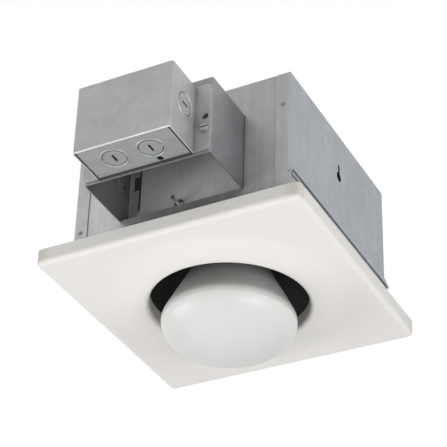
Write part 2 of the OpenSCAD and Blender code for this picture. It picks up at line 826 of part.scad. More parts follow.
// A stud through the liner's front wall: its pan head is inside and its end stands out in the channel
module wall_stud() {
    color(zinc) translate([stud_x, -liner_y + liner_sheet, stud_z]) rotate([90, 0, 0]) mirror([0, 0, 1])
        pan_screw(stud_d, 2 * stud_d, 2.6, stud_out + liner_sheet);
}

module wall_nut() {
    color(zinc) translate([stud_x, -liner_y, stud_z]) difference() {
        rotate([90, 0, 0]) union() {
            cylinder(d = nut_af / cos(30), h = nut_h, $fn = 6);
            cylinder(d = nut_af + 2, h = 0.6);
        }
        translate([0, cut, 0]) rod_out(stud_d + 2 * shank_gap, nut_h + 2 * cut);
    }
}

// STANDOFF CHANNEL: a bent channel, open below, that runs through the front wall to the liner
module channel_rivet_places() {
    for (s = [-1, 1], z = [port_low - 10, port_high + 5])
        translate([channel_x + s * (channel_w / 2 - channel_tab / 2 - sheet / 2), -liner_y - sheet, z])
            rotate([90, 0, 0]) children();
}

module standoff_channel() {
    leg = channel_front - liner_y;
    color(galvanised) difference() {
        union() {
            translate([channel_x, -channel_front, channel_low]) linear_extrude(channel_high - channel_low) {
                bent_u(channel_w, leg, sheet, bend_r);
                for (s = [0, 1]) mirror([s, 0]) translate([channel_w / 2 - channel_tab, leg - sheet])
                    square([channel_tab, sheet]);
            }
            translate([channel_left + sheet / 2, -channel_front + bend_r, channel_high - sheet])
                cube([channel_w - sheet, channel_front - bend_r - shell_y + roof_past, sheet]);
            translate([channel_left + bend_r, -channel_front, channel_high - sheet])
                cube([channel_w - 2 * bend_r, bend_r, sheet]);
        }
        translate([-wide / 2, -shell_y - lay_gap, 0])
            cube([wide, wide, cutout_low + lay_gap]);
        translate([channel_left + channel_tab - notch_w, -liner_y - 2 * sheet, notch_low])
            cube([notch_w + cut, 3 * sheet, notch_high - notch_low]);
        translate([channel_left, wall_knock_back - channel_front, wall_knock_z]) rotate([0, 90, 0])
            knockout_cut(4 * sheet);
        translate([bush_x, -channel_front + 2 * sheet, bush_z]) rod_out(bush_d + 2 * shank_gap, 4 * sheet);
        for (s = [-1, 1]) translate([screws_x + s * cover_screw_pitch / 2, -channel_front + 2 * sheet, 0]) {
            translate([0, 0, cover_screw_z]) rod_out(screw_d + 2 * shank_gap, 4 * sheet);
            translate([0, 0, spare_hole_z]) rod_out(spare_hole_d + 2 * shank_gap, 4 * sheet);
        }
        box_screw_places() cylinder(d = screw_d + 2 * shank_gap, h = 6 * sheet, center = true);
        ground_screw_place() cylinder(d = screw_d + 2 * shank_gap, h = 6 * sheet, center = true);
        channel_rivet_places() cylinder(d = rivet_d + 2 * shank_gap, h = 6 * sheet, center = true);
    }
}

module channel_rivets() {
    color(zinc) channel_rivet_places() rivet(sheet + liner_sheet);
}

// JUNCTION BOX

base_half = box_w / 2 - sheet - box_side_gap;

// The base: a tray of back plate, underside and top, which holds the knockouts
module junction_box_base() {
    depth = box_depth - sheet - lay_gap;
    low = box_low + lay_gap;
    high = box_high - lay_gap;
    color(galvanised) difference() {
        translate([box_x, -channel_front, (low + high) / 2]) mirror([0, 1, 0])
            rotate([0, 90, 0]) translate([0, 0, -base_half]) linear_extrude(2 * base_half)
                bent_u(high - low, depth, sheet, bend_r);
        for (s = [-1, 1])
            translate([box_x + s * knock_pitch / 2, -channel_front - knock_out, low])
                knockout_cut(4 * sheet);
        translate([small_hole_x, -channel_front - small_hole_out, low])
            cylinder(d = small_hole_d, h = 4 * sheet, center = true);
        translate([bush_x, -channel_front + sheet, bush_z]) rod_out(bush_d + 2 * shank_gap, 4 * sheet);
        box_screw_places() cylinder(d = screw_d + 2 * shank_gap, h = 6 * sheet, center = true);
        ground_screw_place() cylinder(d = screw_d + 2 * shank_gap, h = 6 * sheet, center = true);
    }
}

// The cover: front and sides in one bent sheet, ending in two ears on the channel's face
module junction_box_cover() {
    h = box_high - box_low;
    color(galvanised) difference() {
        translate([box_x, 0, 0]) {
            translate([0, -box_front, box_low]) linear_extrude(h)
                bent_u(box_w, box_depth - sheet, sheet, bend_r);
            for (s = [0, 1]) mirror([s, 0, 0])
                translate([0, -channel_front, box_low]) rotate([90, 0, 0])
                    linear_extrude(sheet) ear_outline(h);
        }
        translate([box_right, -channel_front - side_knock_out, box_low + side_knock_up])
            rotate([0, 90, 0]) knockout_cut(4 * sheet);
        for (s = [-1, 1], z = [cover_screw_z, spare_hole_z])
            translate([screws_x + s * cover_screw_pitch / 2, -channel_front + sheet, z])
                rod_out(z == cover_screw_z ? screw_d + 2 * shank_gap : spare_hole_d, 4 * sheet);
    }
}

// An ear seen from the front, from the inside of the box's side wall outwards
module ear_outline(h) {
    translate([box_w / 2 - sheet, 0]) square([ear_w + sheet - ear_r, h]);
    translate([box_w / 2 - sheet, ear_r]) square([ear_w + sheet, h - 2 * ear_r]);
    for (z = [ear_r, h - ear_r]) translate([box_w / 2 + ear_w - ear_r, z]) circle(ear_r);
}

module cover_screws() {
    color(zinc) for (s = [-1, 1])
        translate([screws_x + s * cover_screw_pitch / 2, -channel_front - sheet, cover_screw_z])
            rotate([90, 0, 0]) hex_screw(screw_l);
}

// Two screws inside the box hold its base to the channel
module box_screw_places() {
    for (z = [box_low + box_screw_up, box_high - box_screw_up])
        translate([box_x - box_w / 2 + box_screw_in, -channel_front - sheet, z])
            rotate([90, 0, 0]) children();
}

module box_screws() {
    color(zinc) box_screw_places() hex_screw(screw_l);
}

ground_x = box_x - ground_in;
ground_z = box_low + ground_up;

module ground_screw_place() {
    translate([ground_x, -channel_front - sheet, ground_z]) rotate([90, 0, 0]) children();
}

module ground_screw() {
    color([0.2, 0.5, 0.25]) ground_screw_place() hex_screw(screw_l);
}

// A snap-in bush that carries the leads from the box into the channel
module wire_bush() {
    rim = 1.6;
    color([0.1, 0.1, 0.1]) translate([bush_x, -channel_front - sheet, bush_z]) rotate([-90, 0, 0])
        rotate_extrude() {
            translate([bush_bore / 2, 0]) square([(bush_d - bush_bore) / 2, bush_l]);
            translate([bush_bore / 2, -rim]) square([bush_d / 2 + 2 - bush_bore / 2, rim]);
        }
}

// LEADS: round wires along hand-picked points, from the box through the bush to the socket
roof_z = liner_h + 12;
terminal_y = socket_d / 2 - 4.6;
lead_step = 4;
hot_points = [
    [34, -206, 48], [36, -200, 62], [33, -191, 76], [26.6, -182, bush_z], [26.6, -165, bush_z],
    [27, -140, 88], [28, -120, 94], [30, -106, 100], [31, -98, 105], [33, -88, roof_z],
    [36, -66, roof_z + 2], [36.5, -57, 110.5]
];
neutral_points = [
    [6, -206, 52], [4, -200, 66], [12, -192, 78], [21.4, -182, bush_z], [21.4, -165, bush_z],
    [21, -140, 88], [18, -120, 94], [14, -106, 100], [12, -98, 105], [9, -88, roof_z],
    [3, -60, roof_z + 3], [0, -36, roof_z + 2], [0, -terminal_y - 4, socket_top + 4]
];
link_points = [
    [43.5, -57, 110.5], [46, -64, 116], [53, -58, 120], [54, -36, 121], [36, -2, 121],
    [16, 20, 118], [4, 28, 114], [0, terminal_y + 4, socket_top + 4]
];
earth_points = [
    [ground_x, -channel_front - 2.5, ground_z - 5.6], [ground_x - 5, -channel_front - 3, ground_z - 5],
    [ground_x - 10, -channel_front - 11.1, ground_z - 8],
    [ground_x - 14, -channel_front - 21.1, ground_z + 2],
    [ground_x - 18, -channel_front - 29.1, ground_z + 16]
];

module lead(points) {
    tube(smooth(points, lead_step), lead_d, 8, [1, 0, 0]);
}

module lead_hot() {
    color([0.12, 0.12, 0.12]) lead(hot_points);
}

module lead_neutral() {
    color([0.85, 0.85, 0.82]) lead(neutral_points);
}

module lead_link() {
    color([0.12, 0.12, 0.12]) lead(link_points);
}

module lead_earth() {
    color([0.2, 0.5, 0.25]) tube(smooth(earth_points, lead_step), lead_d - 0.6, 8, [1, 0, 0]);
}

// SOCKET: porcelain body, brass shell and spring contact, hung from a strap on the liner

// The strap: a flat bridge over the socket, with two legs and feet
module socket_bracket() {
    color(galvanised) difference() {
        along_y(strap_w) for (s = [0, 1]) mirror([s, 0]) {
            translate([0, strap_low]) square([strap_leg, strap_t]);
            translate([strap_leg - strap_t, liner_h]) square([strap_t, strap_low + strap_t - liner_h]);
            translate([strap_leg - strap_t, liner_h]) square([strap_foot, strap_t]);
        }
        roof_rivet_places() cylinder(d = rivet_d + 2 * shank_gap, h = 6 * sheet, center = true);
        socket_screw_places() cylinder(d = screw_d + 2 * shank_gap, h = 6 * sheet, center = true);
    }
}

module roof_rivet_places() {
    for (s = [-1, 1], y = [-1, 1])
        translate([s * (strap_leg + strap_foot / 2), y * strap_rivet_y, liner_h + strap_t]) children();
    for (s = [-1, 1])
        translate([cutout_x, cutout_y + s * (cutout_d / 2 + 4), liner_h + strap_t]) children();
}

module roof_rivets() {
    color(zinc) roof_rivet_places() rivet(strap_t + liner_sheet);
}

module socket_screw_places() {
    for (s = [-1, 1]) translate([s * socket_screw_r, 0, strap_low + strap_t]) children();
}

module lamp_socket() {
    r = socket_d / 2;
    h = socket_top - socket_low;
    bore = shell_r + shell_t + lay_gap;
    color([0.93, 0.92, 0.89]) difference() {
        translate([0, 0, socket_low]) rotate_extrude() {
            translate([bore - 1, 0]) square([r - 4 - bore + 1, h]);
            square([r - 3, h - 1]);
            translate([0, h * 0.55]) square([r, h * 0.45 - 1]);
            translate([0, h * 0.55 + 1]) square([r - 1, h * 0.45 - 1]);
        }
        translate([0, 0, socket_low - cut]) cylinder(r = bore, h = socket_floor - socket_low + cut);
        socket_screw_places()
            cylinder(d = screw_d + 2 * shank_gap, h = 2 * (socket_roof + strap_t), center = true);
        for (s = [-1, 1]) translate([0, s * terminal_y, socket_top - 5])
            cylinder(d = terminal_d + 2 * shank_gap, h = 5 + 2 * cut);
    }
}

module socket_shell() {
    low = socket_low + 1;
    high = socket_floor;
    color([0.78, 0.62, 0.30]) translate([0, 0, low]) rotate_extrude() {
        translate([shell_r, 0]) square([shell_t, high - low]);
        translate([shell_r - 2.4, high - low - shell_t]) square([2.4, shell_t]);
    }
}

// The spring contact: a folded leaf that presses on the lamp's end
module socket_contact() {
    low = lamp_tip + contact_gap;
    high = socket_floor - leaf_t;
    color([0.78, 0.62, 0.30]) along_y(leaf_w) translate([-leaf_l / 2, 0]) {
        translate([0, high]) square([leaf_l, leaf_t]);
        translate([0, low]) square([leaf_t, high - low]);
        translate([0, low]) square([leaf_end, leaf_t]);
    }
}

module socket_terminals() {
    color([0.78, 0.62, 0.30]) for (s = [-1, 1]) translate([0, s * terminal_y, socket_top])
        pan_screw(terminal_d, terminal_head_d, terminal_head_h, terminal_l);
}

module socket_screws() {
    color(zinc) socket_screw_places() pan_screw(screw_d, 7, 2.4, socket_roof + strap_t - 1);
}

// HEAT CUT-OUT: a bimetal disc switch on the liner's roof
module thermal_cutout() {
    flange = strap_t;
    color([0.75, 0.75, 0.74]) translate([cutout_x, cutout_y, liner_h]) difference() {
        union() {
            hull() for (s = [-1, 1]) translate([0, s * (cutout_d / 2 + 4), 0])
                cylinder(r = 4.5, h = flange, $fn = 32);
            cylinder(d = cutout_d, h = cutout_h);
            cylinder(d = cutout_d - 3, h = cutout_h + 1);
        }
        for (s = [-1, 1]) translate([0, s * (cutout_d / 2 + 4), -cut])
            cylinder(d = rivet_d + 2 * shank_gap, h = flange + 2 * cut);
    }
}

module cutout_terminals() {
    top = liner_h + cutout_h + 1;
    color([0.78, 0.62, 0.30]) for (s = [-1, 1])
        translate([cutout_x + s * 3.5, cutout_y, 0]) {
            translate([-2.4, -2.4, top]) cube([4.8, 4.8, 0.8]);
            translate([-0.4, -8, top]) cube([0.8, 8, 5.5]);
        }
}

// LAMP

// Profile of the envelope from the middle of its face to the neck inside the base
dome_steps = 18;
bulge_r = 15;
cone_angle = 27;
cone_low = [lamp_d / 2 - bulge_r * (1 - cos(cone_angle)), wide_z + bulge_r * sin(cone_angle)];
cone_high = [neck_r, cone_low[1] + (cone_low[0] - neck_r) / tan(cone_angle)];
collar_r = base_d / 2 - thread_depth - 0.4 - lay_gap;
neck_end = base_low + socket_start - 1;
envelope = concat(
    [for (i = [0 : dome_steps]) let (a = 90 * i / dome_steps)
        [lamp_d / 2 * sin(a), wide_z - dome_h * cos(a)]],
    [for (a = [9 : 9 : cone_angle])
        [lamp_d / 2 - bulge_r * (1 - cos(a)), wide_z + bulge_r * sin(a)]],
    [for (s = [0.25 : 0.25 : 1])
        cone_low + s * ([neck_r, min(cone_high[1], base_low - neck_h)] - cone_low)],
    [for (a = [15 : 15 : 90]) let (h = neck_end - min(cone_high[1], base_low - neck_h))
        [collar_r + (neck_r - collar_r) * cos(a), neck_end - h * (1 - sin(a))]],
    [[collar_r, base_low + 6]]
);
function inward(p, i) =
    let (d = unit(knot(p, i + 1) - knot(p, i - 1)))
    [max(0, p[i][0] - d[1] * glass_t), p[i][1] + d[0] * glass_t];
cavity = [for (i = [0 : len(envelope) - 3]) inward(envelope, i)];

module lamp_glass() {
    last = cavity[len(cavity) - 1];
    color([0.96, 0.96, 0.95]) rotate_extrude($fn = 96) difference() {
        polygon(concat(envelope, [[0, base_low + 6]]));
        polygon(concat(cavity, [[0, last[1]]]));
    }
}

stem_top = cavity[len(cavity) - 1][1];
stem_low = stem_top - stem_l;

// The glass stem that seals the neck and carries the filament's wires
module lamp_stem() {
    color([0.85, 0.88, 0.88]) rotate_extrude() polygon([
        [0, stem_low], [stem_d / 2 - 0.4, stem_low], [stem_d / 2, stem_low + 1],
        [stem_d / 2, stem_top - stem_l / 3], [stem_d * 0.75, stem_top - stem_l / 6],
        [stem_d * 1.2, stem_top - 1.5], [stem_d * 1.27, stem_top], [0, stem_top]
    ]);
}

module lamp_filament() {
    z = stem_low - filament_drop;
    color([0.55, 0.55, 0.56]) {
        translate([0, 0, z]) rotate([0, 0, 20]) rotate_extrude(angle = 320, $fn = 36)
            translate([filament_r, 0]) circle(d = filament_d, $fn = 16);
        for (a = [20, 340]) rotate([0, 0, a]) translate([filament_r, 0, z])
            filament_wire([stem_d / 2 - 1.2 - filament_r, 0, filament_drop - lay_gap]);
    }
}

module filament_wire(to) {
    rotate([0, -acos(to[2] / norm(to)), 0]) cylinder(d = wire_d, h = norm(to), $fn = 16);
}

// The threaded brass shell, drawn as rounded rings one pitch apart
module lamp_base() {
    steps = 12;
    crest = base_d / 2;
    n = floor((base_l - 3) / thread_pitch) * steps;
    outer = [for (i = [0 : n]) [crest - thread_depth / 2 * (1 + cos(360 * i / steps)),
        base_low + 2 + i * thread_pitch / steps]];
    inner = crest - thread_depth - 0.4;
    color([0.80, 0.80, 0.78]) rotate_extrude() polygon(concat(
        [[inner, base_low], [crest - thread_depth, base_low]], outer,
        [[crest - thread_depth, base_top], [inner, base_top]]
    ));
}

module lamp_base_ring() {
    r = base_d / 2 - thread_depth;
    color([0.14, 0.14, 0.16]) rotate_extrude() polygon([
        [0, base_top], [r, base_top], [r - 2, base_top + 1.6], [tip_d / 2 + 1, base_top + base_ring_h],
        [0, base_top + base_ring_h]
    ]);
}

module lamp_contact() {
    color([0.75, 0.75, 0.74]) translate([0, 0, lamp_tip - tip_h]) rotate_extrude() polygon([
        [0, 0], [tip_d / 2, 0], [tip_d / 2 - 0.6, tip_h * 0.7], [tip_d / 4, tip_h], [0, tip_h]
    ]);
}

grille();
grille_hooks();
grille_spring(-1);  // grille_spring_left
grille_spring(1);  // grille_spring_right
spring_hangers();
housing_shell();
side_panel_left();
side_panel_right();
side_skirt_right();
panel_rivets();
heat_liner();
liner_screws();
wall_stud();
wall_nut();
standoff_channel();
channel_rivets();
junction_box_base();
junction_box_cover();
cover_screws();
box_screws();
ground_screw();
wire_bush();
lead_hot();
lead_neutral();
lead_link();
lead_earth();
socket_bracket();
roof_rivets();
lamp_socket();
socket_shell();
socket_contact();
socket_terminals();
socket_screws();
thermal_cutout();
cutout_terminals();
lamp_glass();
lamp_stem();
lamp_filament();
lamp_base();
lamp_base_ring();
lamp_contact();
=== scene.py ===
"""Looks of the recessed heat lamp: materials, a few finer pieces, the light and the camera."""
import math

import bmesh
import bpy
from mathutils import Matrix, Vector


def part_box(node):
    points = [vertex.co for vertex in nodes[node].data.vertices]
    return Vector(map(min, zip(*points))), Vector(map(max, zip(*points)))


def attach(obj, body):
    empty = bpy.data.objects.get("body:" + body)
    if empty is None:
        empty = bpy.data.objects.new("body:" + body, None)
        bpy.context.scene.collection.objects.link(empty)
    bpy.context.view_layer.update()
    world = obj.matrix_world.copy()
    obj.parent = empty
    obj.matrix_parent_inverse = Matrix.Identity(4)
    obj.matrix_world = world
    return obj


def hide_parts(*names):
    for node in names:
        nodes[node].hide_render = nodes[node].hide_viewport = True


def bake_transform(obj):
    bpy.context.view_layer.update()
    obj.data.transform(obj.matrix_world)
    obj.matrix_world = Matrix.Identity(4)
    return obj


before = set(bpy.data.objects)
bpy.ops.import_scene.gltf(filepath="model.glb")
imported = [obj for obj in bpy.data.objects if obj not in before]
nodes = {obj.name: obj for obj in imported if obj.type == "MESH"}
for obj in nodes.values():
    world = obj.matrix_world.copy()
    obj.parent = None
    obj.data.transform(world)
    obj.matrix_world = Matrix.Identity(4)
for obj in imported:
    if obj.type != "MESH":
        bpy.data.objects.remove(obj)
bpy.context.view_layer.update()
MM = 0.001
DOWN, RIGHT = Vector((0, 0, -1)), Vector((1, 0, 0))


# Node helpers: each call adds nodes and returns the output that carries their result

class Nodes:
    """A node tree and the few ways in which it is filled here."""

    def __init__(self, tree):
        self.tree = tree

    def add(self, kind, **settings):
        node = self.tree.nodes.new(kind)
        for name, value in settings.items():
            setattr(node, name, value)
        return node

    def link(self, value, socket):
        """Links an output to a socket, or sets the socket to a number, a vector or a colour."""
        if isinstance(value, bpy.types.NodeSocket):
            self.tree.links.new(value, socket)
        elif isinstance(value, tuple) and len(value) == 3 and len(socket.default_value) == 4:
            socket.default_value = (*value, 1.0)
        else:
            socket.default_value = value

    def math(self, what, a, b=0.0):
        node = self.add("ShaderNodeMath", operation=what)
        self.link(a, node.inputs[0])
        self.link(b, node.inputs[1])
        return node.outputs[0]

    def seen(self):
        """1 for rays that show the stage, straight, mirrored or through glass; 0 for its light."""
        rays = self.add("ShaderNodeLightPath").outputs
        mirrored = self.math("MAXIMUM", rays["Is Glossy Ray"], rays["Is Transmission Ray"])
        return self.math("MAXIMUM", rays["Is Camera Ray"], mirrored)

    def mix_shaders(self, factor, first, second):
        node = self.add("ShaderNodeMixShader")
        for value, socket in zip((factor, first, second), node.inputs):
            self.link(value, socket)
        return node.outputs[0]


class Shader(Nodes):
    """A node material with the Principled shader at its end."""

    def __init__(self, name):
        self.material = bpy.data.materials.new(name)
        self.material.use_nodes = True
        super().__init__(self.material.node_tree)
        self.bsdf = self.tree.nodes["Principled BSDF"]
        self.place = self.add("ShaderNodeTexCoord").outputs["Object"]

    def put(self, **values):
        """Sets or links sockets of the shader, by name with _ for a blank."""
        for name, value in values.items():
            self.link(value, self.bsdf.inputs[name.replace("_", " ")])

    def stretched(self, scale, shift=(0, 0, 0)):
        node = self.add("ShaderNodeMapping")
        self.link(self.place, node.inputs["Vector"])
        node.inputs["Scale"].default_value = scale
        node.inputs["Location"].default_value = shift
        return node.outputs["Vector"]

    def noise(self, scale, detail=4.0, rough=0.55, along=(1, 1, 1), shift=(0, 0, 0), warp=0.0):
        node = self.add("ShaderNodeTexNoise")
        self.link(self.stretched(along, shift), node.inputs["Vector"])
        node.inputs["Scale"].default_value = scale
        node.inputs["Detail"].default_value = detail
        node.inputs["Roughness"].default_value = rough
        node.inputs["Distortion"].default_value = warp
        return node.outputs["Fac"]

    def cells(self, scale, shift):
        """A random grey for each cell, as in zinc spangle."""
        node = self.add("ShaderNodeTexVoronoi", feature="F1")
        self.link(self.stretched((1, 1, 1), shift), node.inputs["Vector"])
        node.inputs["Scale"].default_value = scale
        grey = self.add("ShaderNodeRGBToBW")
        self.link(node.outputs["Color"], grey.inputs[0])
        return grey.outputs[0]

    def span(self, value, low, high, to_low=0.0, to_high=1.0, smooth=False):
        """value mapped from low..high to to_low..to_high, and held at its ends."""
        node = self.add("ShaderNodeMapRange", clamp=True)
        if smooth:
            node.interpolation_type = "SMOOTHSTEP"
        self.link(value, node.inputs["Value"])
        ends = {"From Min": low, "From Max": high, "To Min": to_low, "To Max": to_high}
        for name, number in ends.items():
            node.inputs[name].default_value = number
        return node.outputs["Result"]

    def product(self, value, *spans):
        """value times each span, which is given as the arguments of span."""
        for span in spans:
            value = self.math("MULTIPLY", value, self.span(*span))
        return value

    def mix(self, factor, a, b):
        node = self.add("ShaderNodeMix", data_type="RGBA")
        self.link(factor, node.inputs[0])
        self.link(a, node.inputs[6])
        self.link(b, node.inputs[7])
        return node.outputs[2]

    def blend(self, factor, a, b):
        node = self.add("ShaderNodeMix", data_type="FLOAT")
        self.link(factor, node.inputs[0])
        self.link(a, node.inputs[2])
        self.link(b, node.inputs[3])
        return node.outputs[0]

    def scaled(self, tone, factor):
        node = self.add("ShaderNodeVectorMath", operation="SCALE")
        self.link(tone, node.inputs[0])
        self.link(factor, node.inputs["Scale"])
        return node.outputs[0]

    def axis(self, letter):
        node = self.add("ShaderNodeSeparateXYZ")
        self.link(self.place, node.inputs[0])
        return node.outputs[letter]

    def either_way(self, letter):
        return self.math("ABSOLUTE", self.axis(letter))

    def inside(self, letter, low, high, blur=0.2 * MM):
        """1 between two places on an axis, 0 outside them."""
        place = self.axis(letter)
        above = self.span(place, low - blur, low + blur)
        return self.product(above, (place, high + blur, high - blur))

    def painted_hollow_shade(self, reach):
        """Painted shade: 0 in the corner of a fold, a seat or a slot, 1 on open ground."""
        node = self.add("ShaderNodeAmbientOcclusion", samples=8)
        node.inputs["Distance"].default_value = reach
        return node.outputs["AO"]

    def edge(self, radius):
        """1 along a cut or folded edge, 0 on the flat."""
        bevel = self.add("ShaderNodeBevel", samples=6)
        bevel.inputs["Radius"].default_value = radius
        flat = self.add("ShaderNodeNewGeometry")
        turn = self.add("ShaderNodeVectorMath", operation="DOT_PRODUCT")
        self.link(bevel.outputs["Normal"], turn.inputs[0])
        self.link(flat.outputs["Normal"], turn.inputs[1])
        flat_turn, edge_turn = 0.98, 0.82
        return self.span(turn.outputs["Value"], flat_turn, edge_turn)

    def bump(self, height, strength, distance):
        node = self.add("ShaderNodeBump")
        self.link(height, node.inputs["Height"])
        node.inputs["Strength"].default_value = strength
        node.inputs["Distance"].default_value = distance
        return node.outputs["Normal"]


# Materials: tones are linear colours, and the scale of a pattern is in repeats to the metre.
# shift moves a pattern, so that no two sheets are alike.

def darker(tone, share):
    return tuple(v * share for v in tone)


def galvanised_parts(s, tone, shift, streaks, brushed):
    """Zinc-coated sheet: its colour, roughness and normal, and the grain that is in its colour.

    streaks is the pattern's stretch along each axis, and brushed the strength of its streaks.
    """
    spangle = s.cells(105, shift)
    cloud = s.noise(9, 3, 0.6, shift=shift, warp=0.4)
    streak = s.noise(40, 5, 0.65, along=streaks, shift=shift)
    finer = tuple(1 if v == 1 else v * 0.35 for v in streaks)
    brush = s.noise(230, 3, 0.6, along=finer, shift=shift)
    beside = (shift[0] + 3, shift[1], shift[2])
    smudge = s.span(s.noise(26, 4, 0.6, shift=beside), 0.58, 0.78)
    grain = s.product(
        s.span(cloud, 0.3, 0.7, 0.90, 1.09),
        (spangle, 0.1, 0.9, 0.96, 1.04),
        (streak, 0.3, 0.7, 1 - 0.08 * brushed, 1 + 0.07 * brushed),
        (brush, 0.3, 0.7, 1 - 0.07 * brushed, 1 + 0.06 * brushed),
        (smudge, 0.0, 1.0, 1.0, 0.88),
    )
    # Painted shade darkens the grain in folds, seats and slots, near and wide; along cut and folded
    # edges it is lighter, a painted highlight that at a cut is also bare metal
    value = s.product(
        grain,
        (s.painted_hollow_shade(6 * MM), 0.25, 0.9, 0.62, 1.0),
        (s.painted_hollow_shade(45 * MM), 0.3, 0.95, 0.80, 1.02),
        (s.edge(0.5 * MM), 0.0, 1.0, 1.0, 1.35),
    )
    uneven = s.span(cloud, 0.3, 0.7, -0.03, 0.06)
    rough = s.math("ADD", s.span(streak, 0.3, 0.7, 0.40, 0.50), uneven)
    height = s.math("ADD", s.math("MULTIPLY", streak, 0.6), s.math("MULTIPLY", spangle, 0.25))
    return s.scaled(tone, value), rough, s.bump(height, 0.12, 0.0002), grain


def galvanised(name, tone, shift, streaks, metallic=0.55, brushed=1.0, lighter=None, where=()):
    """A sheet's material, with painted light: the tone lighter where each place in where is past
    its two marks.

    A place is an axis: "Y" counts both ways from the middle, "-Y" only towards the negative side.
    """
    s = Shader(name)
    colour, rough, normal, grain = galvanised_parts(s, tone, shift, streaks, brushed)
    if lighter:
        painted_light_mask = 1.0
        for letter, start, full in where:
            if letter[0] == "-":
                place = s.math("MULTIPLY", s.axis(letter[1]), -1.0)
            else:
                place = s.either_way(letter)
            painted_light_mask = s.product(painted_light_mask, (place, start, full))
        colour = s.mix(painted_light_mask, colour, s.scaled(lighter, grain))
    s.put(Base_Color=colour, Roughness=rough, Metallic=metallic, Normal=normal)
    return s.material


# Painted shade: black patches on the liner's front wall beside the channel's tab, standing for
# openings into the dark inside: left, right, bottom, top
CHANNEL_SLOTS_PAINTED_SHADE = [
    (-55.1 * MM, -49.6 * MM, 66.3 * MM, 82.4 * MM),
    (-49.6 * MM, -48.0 * MM, 43.0 * MM, 66.3 * MM),
    (-49.6 * MM, -47.5 * MM, 66.3 * MM, 100.0 * MM),
]
SLOT_START, SLOT_FULL = -92.6 * MM, -92.8 * MM  # just behind the wall's outer face
LINER_FLANGE = 12 * MM
SKIN = 0.4 * MM  # how deep an outer face's look goes


def liner_metal():
    """Galvanised outside, with a lighter tone that is painted light; matt black inside, which is
    painted shade for the unlit inside of the housing: the sides are told apart by their place.
    """
    s = Shader("liner_sheet")
    # The outer tone, much lighter than the other galvanised sheets, is painted light for the light
    # that reaches this wall through the channel
    painted_light_zinc_tone = (0.90, 0.905, 0.91)
    colour, rough, normal, _ = galvanised_parts(s, painted_light_zinc_tone, (2, 5, 1), (1, 1, 0.06), 0.5)
    # Black painted shade for the openings beside the channel's tab
    for left, right, bottom, top in CHANNEL_SLOTS_PAINTED_SHADE:
        slot = s.math("MULTIPLY", s.inside("X", left, right), s.inside("Z", bottom, top))
        slot = s.product(slot, (s.axis("Y"), SLOT_START, SLOT_FULL))
        colour = s.mix(slot, colour, (0.012, 0.012, 0.012))
    low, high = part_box("heat_liner")
    middle = (low.x + high.x) / 2
    from_mid = s.math("ABSOLUTE", s.math("SUBTRACT", s.axis("X"), middle))
    outer = s.math("GREATER_THAN", from_mid, (high.x - low.x) / 2 - LINER_FLANGE - SKIN)
    for place, wall in ((s.either_way("Y"), high.y - LINER_FLANGE), (s.axis("Z"), high.z)):
        outer = s.math("MAXIMUM", outer, s.math("GREATER_THAN", place, wall - SKIN))
    soot = s.noise(60, 4, 0.6)
    # Matt black inside: painted shade for the unlit inside of the housing
    black = s.mix(soot, (0.125, 0.125, 0.125), (0.155, 0.154, 0.152))
    s.put(
        Base_Color=s.mix(outer, black, colour),
        Roughness=s.blend(outer, s.span(soot, 0.3, 0.7, 0.5, 0.62), rough),
        Metallic=s.math("MULTIPLY", outer, 0.3),
        Normal=normal,
    )
    return s.material


def grille_paint():
    """Baked warm-white enamel with a faint orange peel and specks, and painted shade at its
    corners.
    """
    s = Shader("grille_enamel")
    cloud = s.noise(7, 3, 0.5, warp=0.3)
    peel = s.noise(700, 2, 0.5)
    speck = s.span(s.noise(260, 2, 0.5), 0.76, 0.82)
    tone = s.mix(cloud, (0.785, 0.762, 0.733), (0.82, 0.797, 0.77))
    tone = s.mix(s.math("MULTIPLY", speck, 0.25), tone, (0.60, 0.58, 0.55))
    # Painted shade, warm-toned: only where both ways to a corner are short, and more on the rim
    # than on the face
    near_x = s.span(s.either_way("X"), 112 * MM, 131 * MM, smooth=True)
    near_y = s.span(s.either_way("Y"), 112 * MM, 130.5 * MM, smooth=True)
    on_rim = (s.axis("Z"), -15.6 * MM, -12.5 * MM)
    corner = s.product(s.math("MULTIPLY", near_x, near_y), on_rim)
    tone = s.mix(s.math("MULTIPLY", corner, 0.8), tone, (0.62, 0.58, 0.52))
    s.put(
        Base_Color=tone,
        Roughness=s.span(s.noise(55, 4, 0.6), 0.3, 0.7, 0.46, 0.56),
        Normal=s.bump(peel, 0.10, 0.00012),
        Specular_IOR_Level=0.35,
    )
    return s.material


LAMP_SEAM = -41 * MM
SEAM_BLUR = 0.4 * MM


def lamp_skin():
    """Frosted white face below the lamp's seam, and a silvered cone above it."""
    s = Shader("lamp_envelope")
    below, above = LAMP_SEAM - SEAM_BLUR, LAMP_SEAM + SEAM_BLUR
    silver = s.span(s.axis("Z"), below, above, smooth=True)
    cloud = s.noise(14, 3, 0.5, warp=0.5)
    frost = s.mix(cloud, (0.68, 0.672, 0.66), (0.72, 0.712, 0.70))
    metal = s.mix(cloud, (0.56, 0.56, 0.545), (0.62, 0.62, 0.605))
    s.put(
        Base_Color=s.mix(silver, frost, metal),
        Roughness=s.blend(silver, 0.38, s.span(s.noise(90, 4, 0.6), 0.3, 0.7, 0.34, 0.44)),
        Metallic=s.math("MULTIPLY", silver, 0.4),
        Normal=s.bump(s.noise(900, 2, 0.5), 0.05, 0.0001),
        Subsurface_Weight=0.12,
        Subsurface_Scale=0.004,
    )
    return s.material


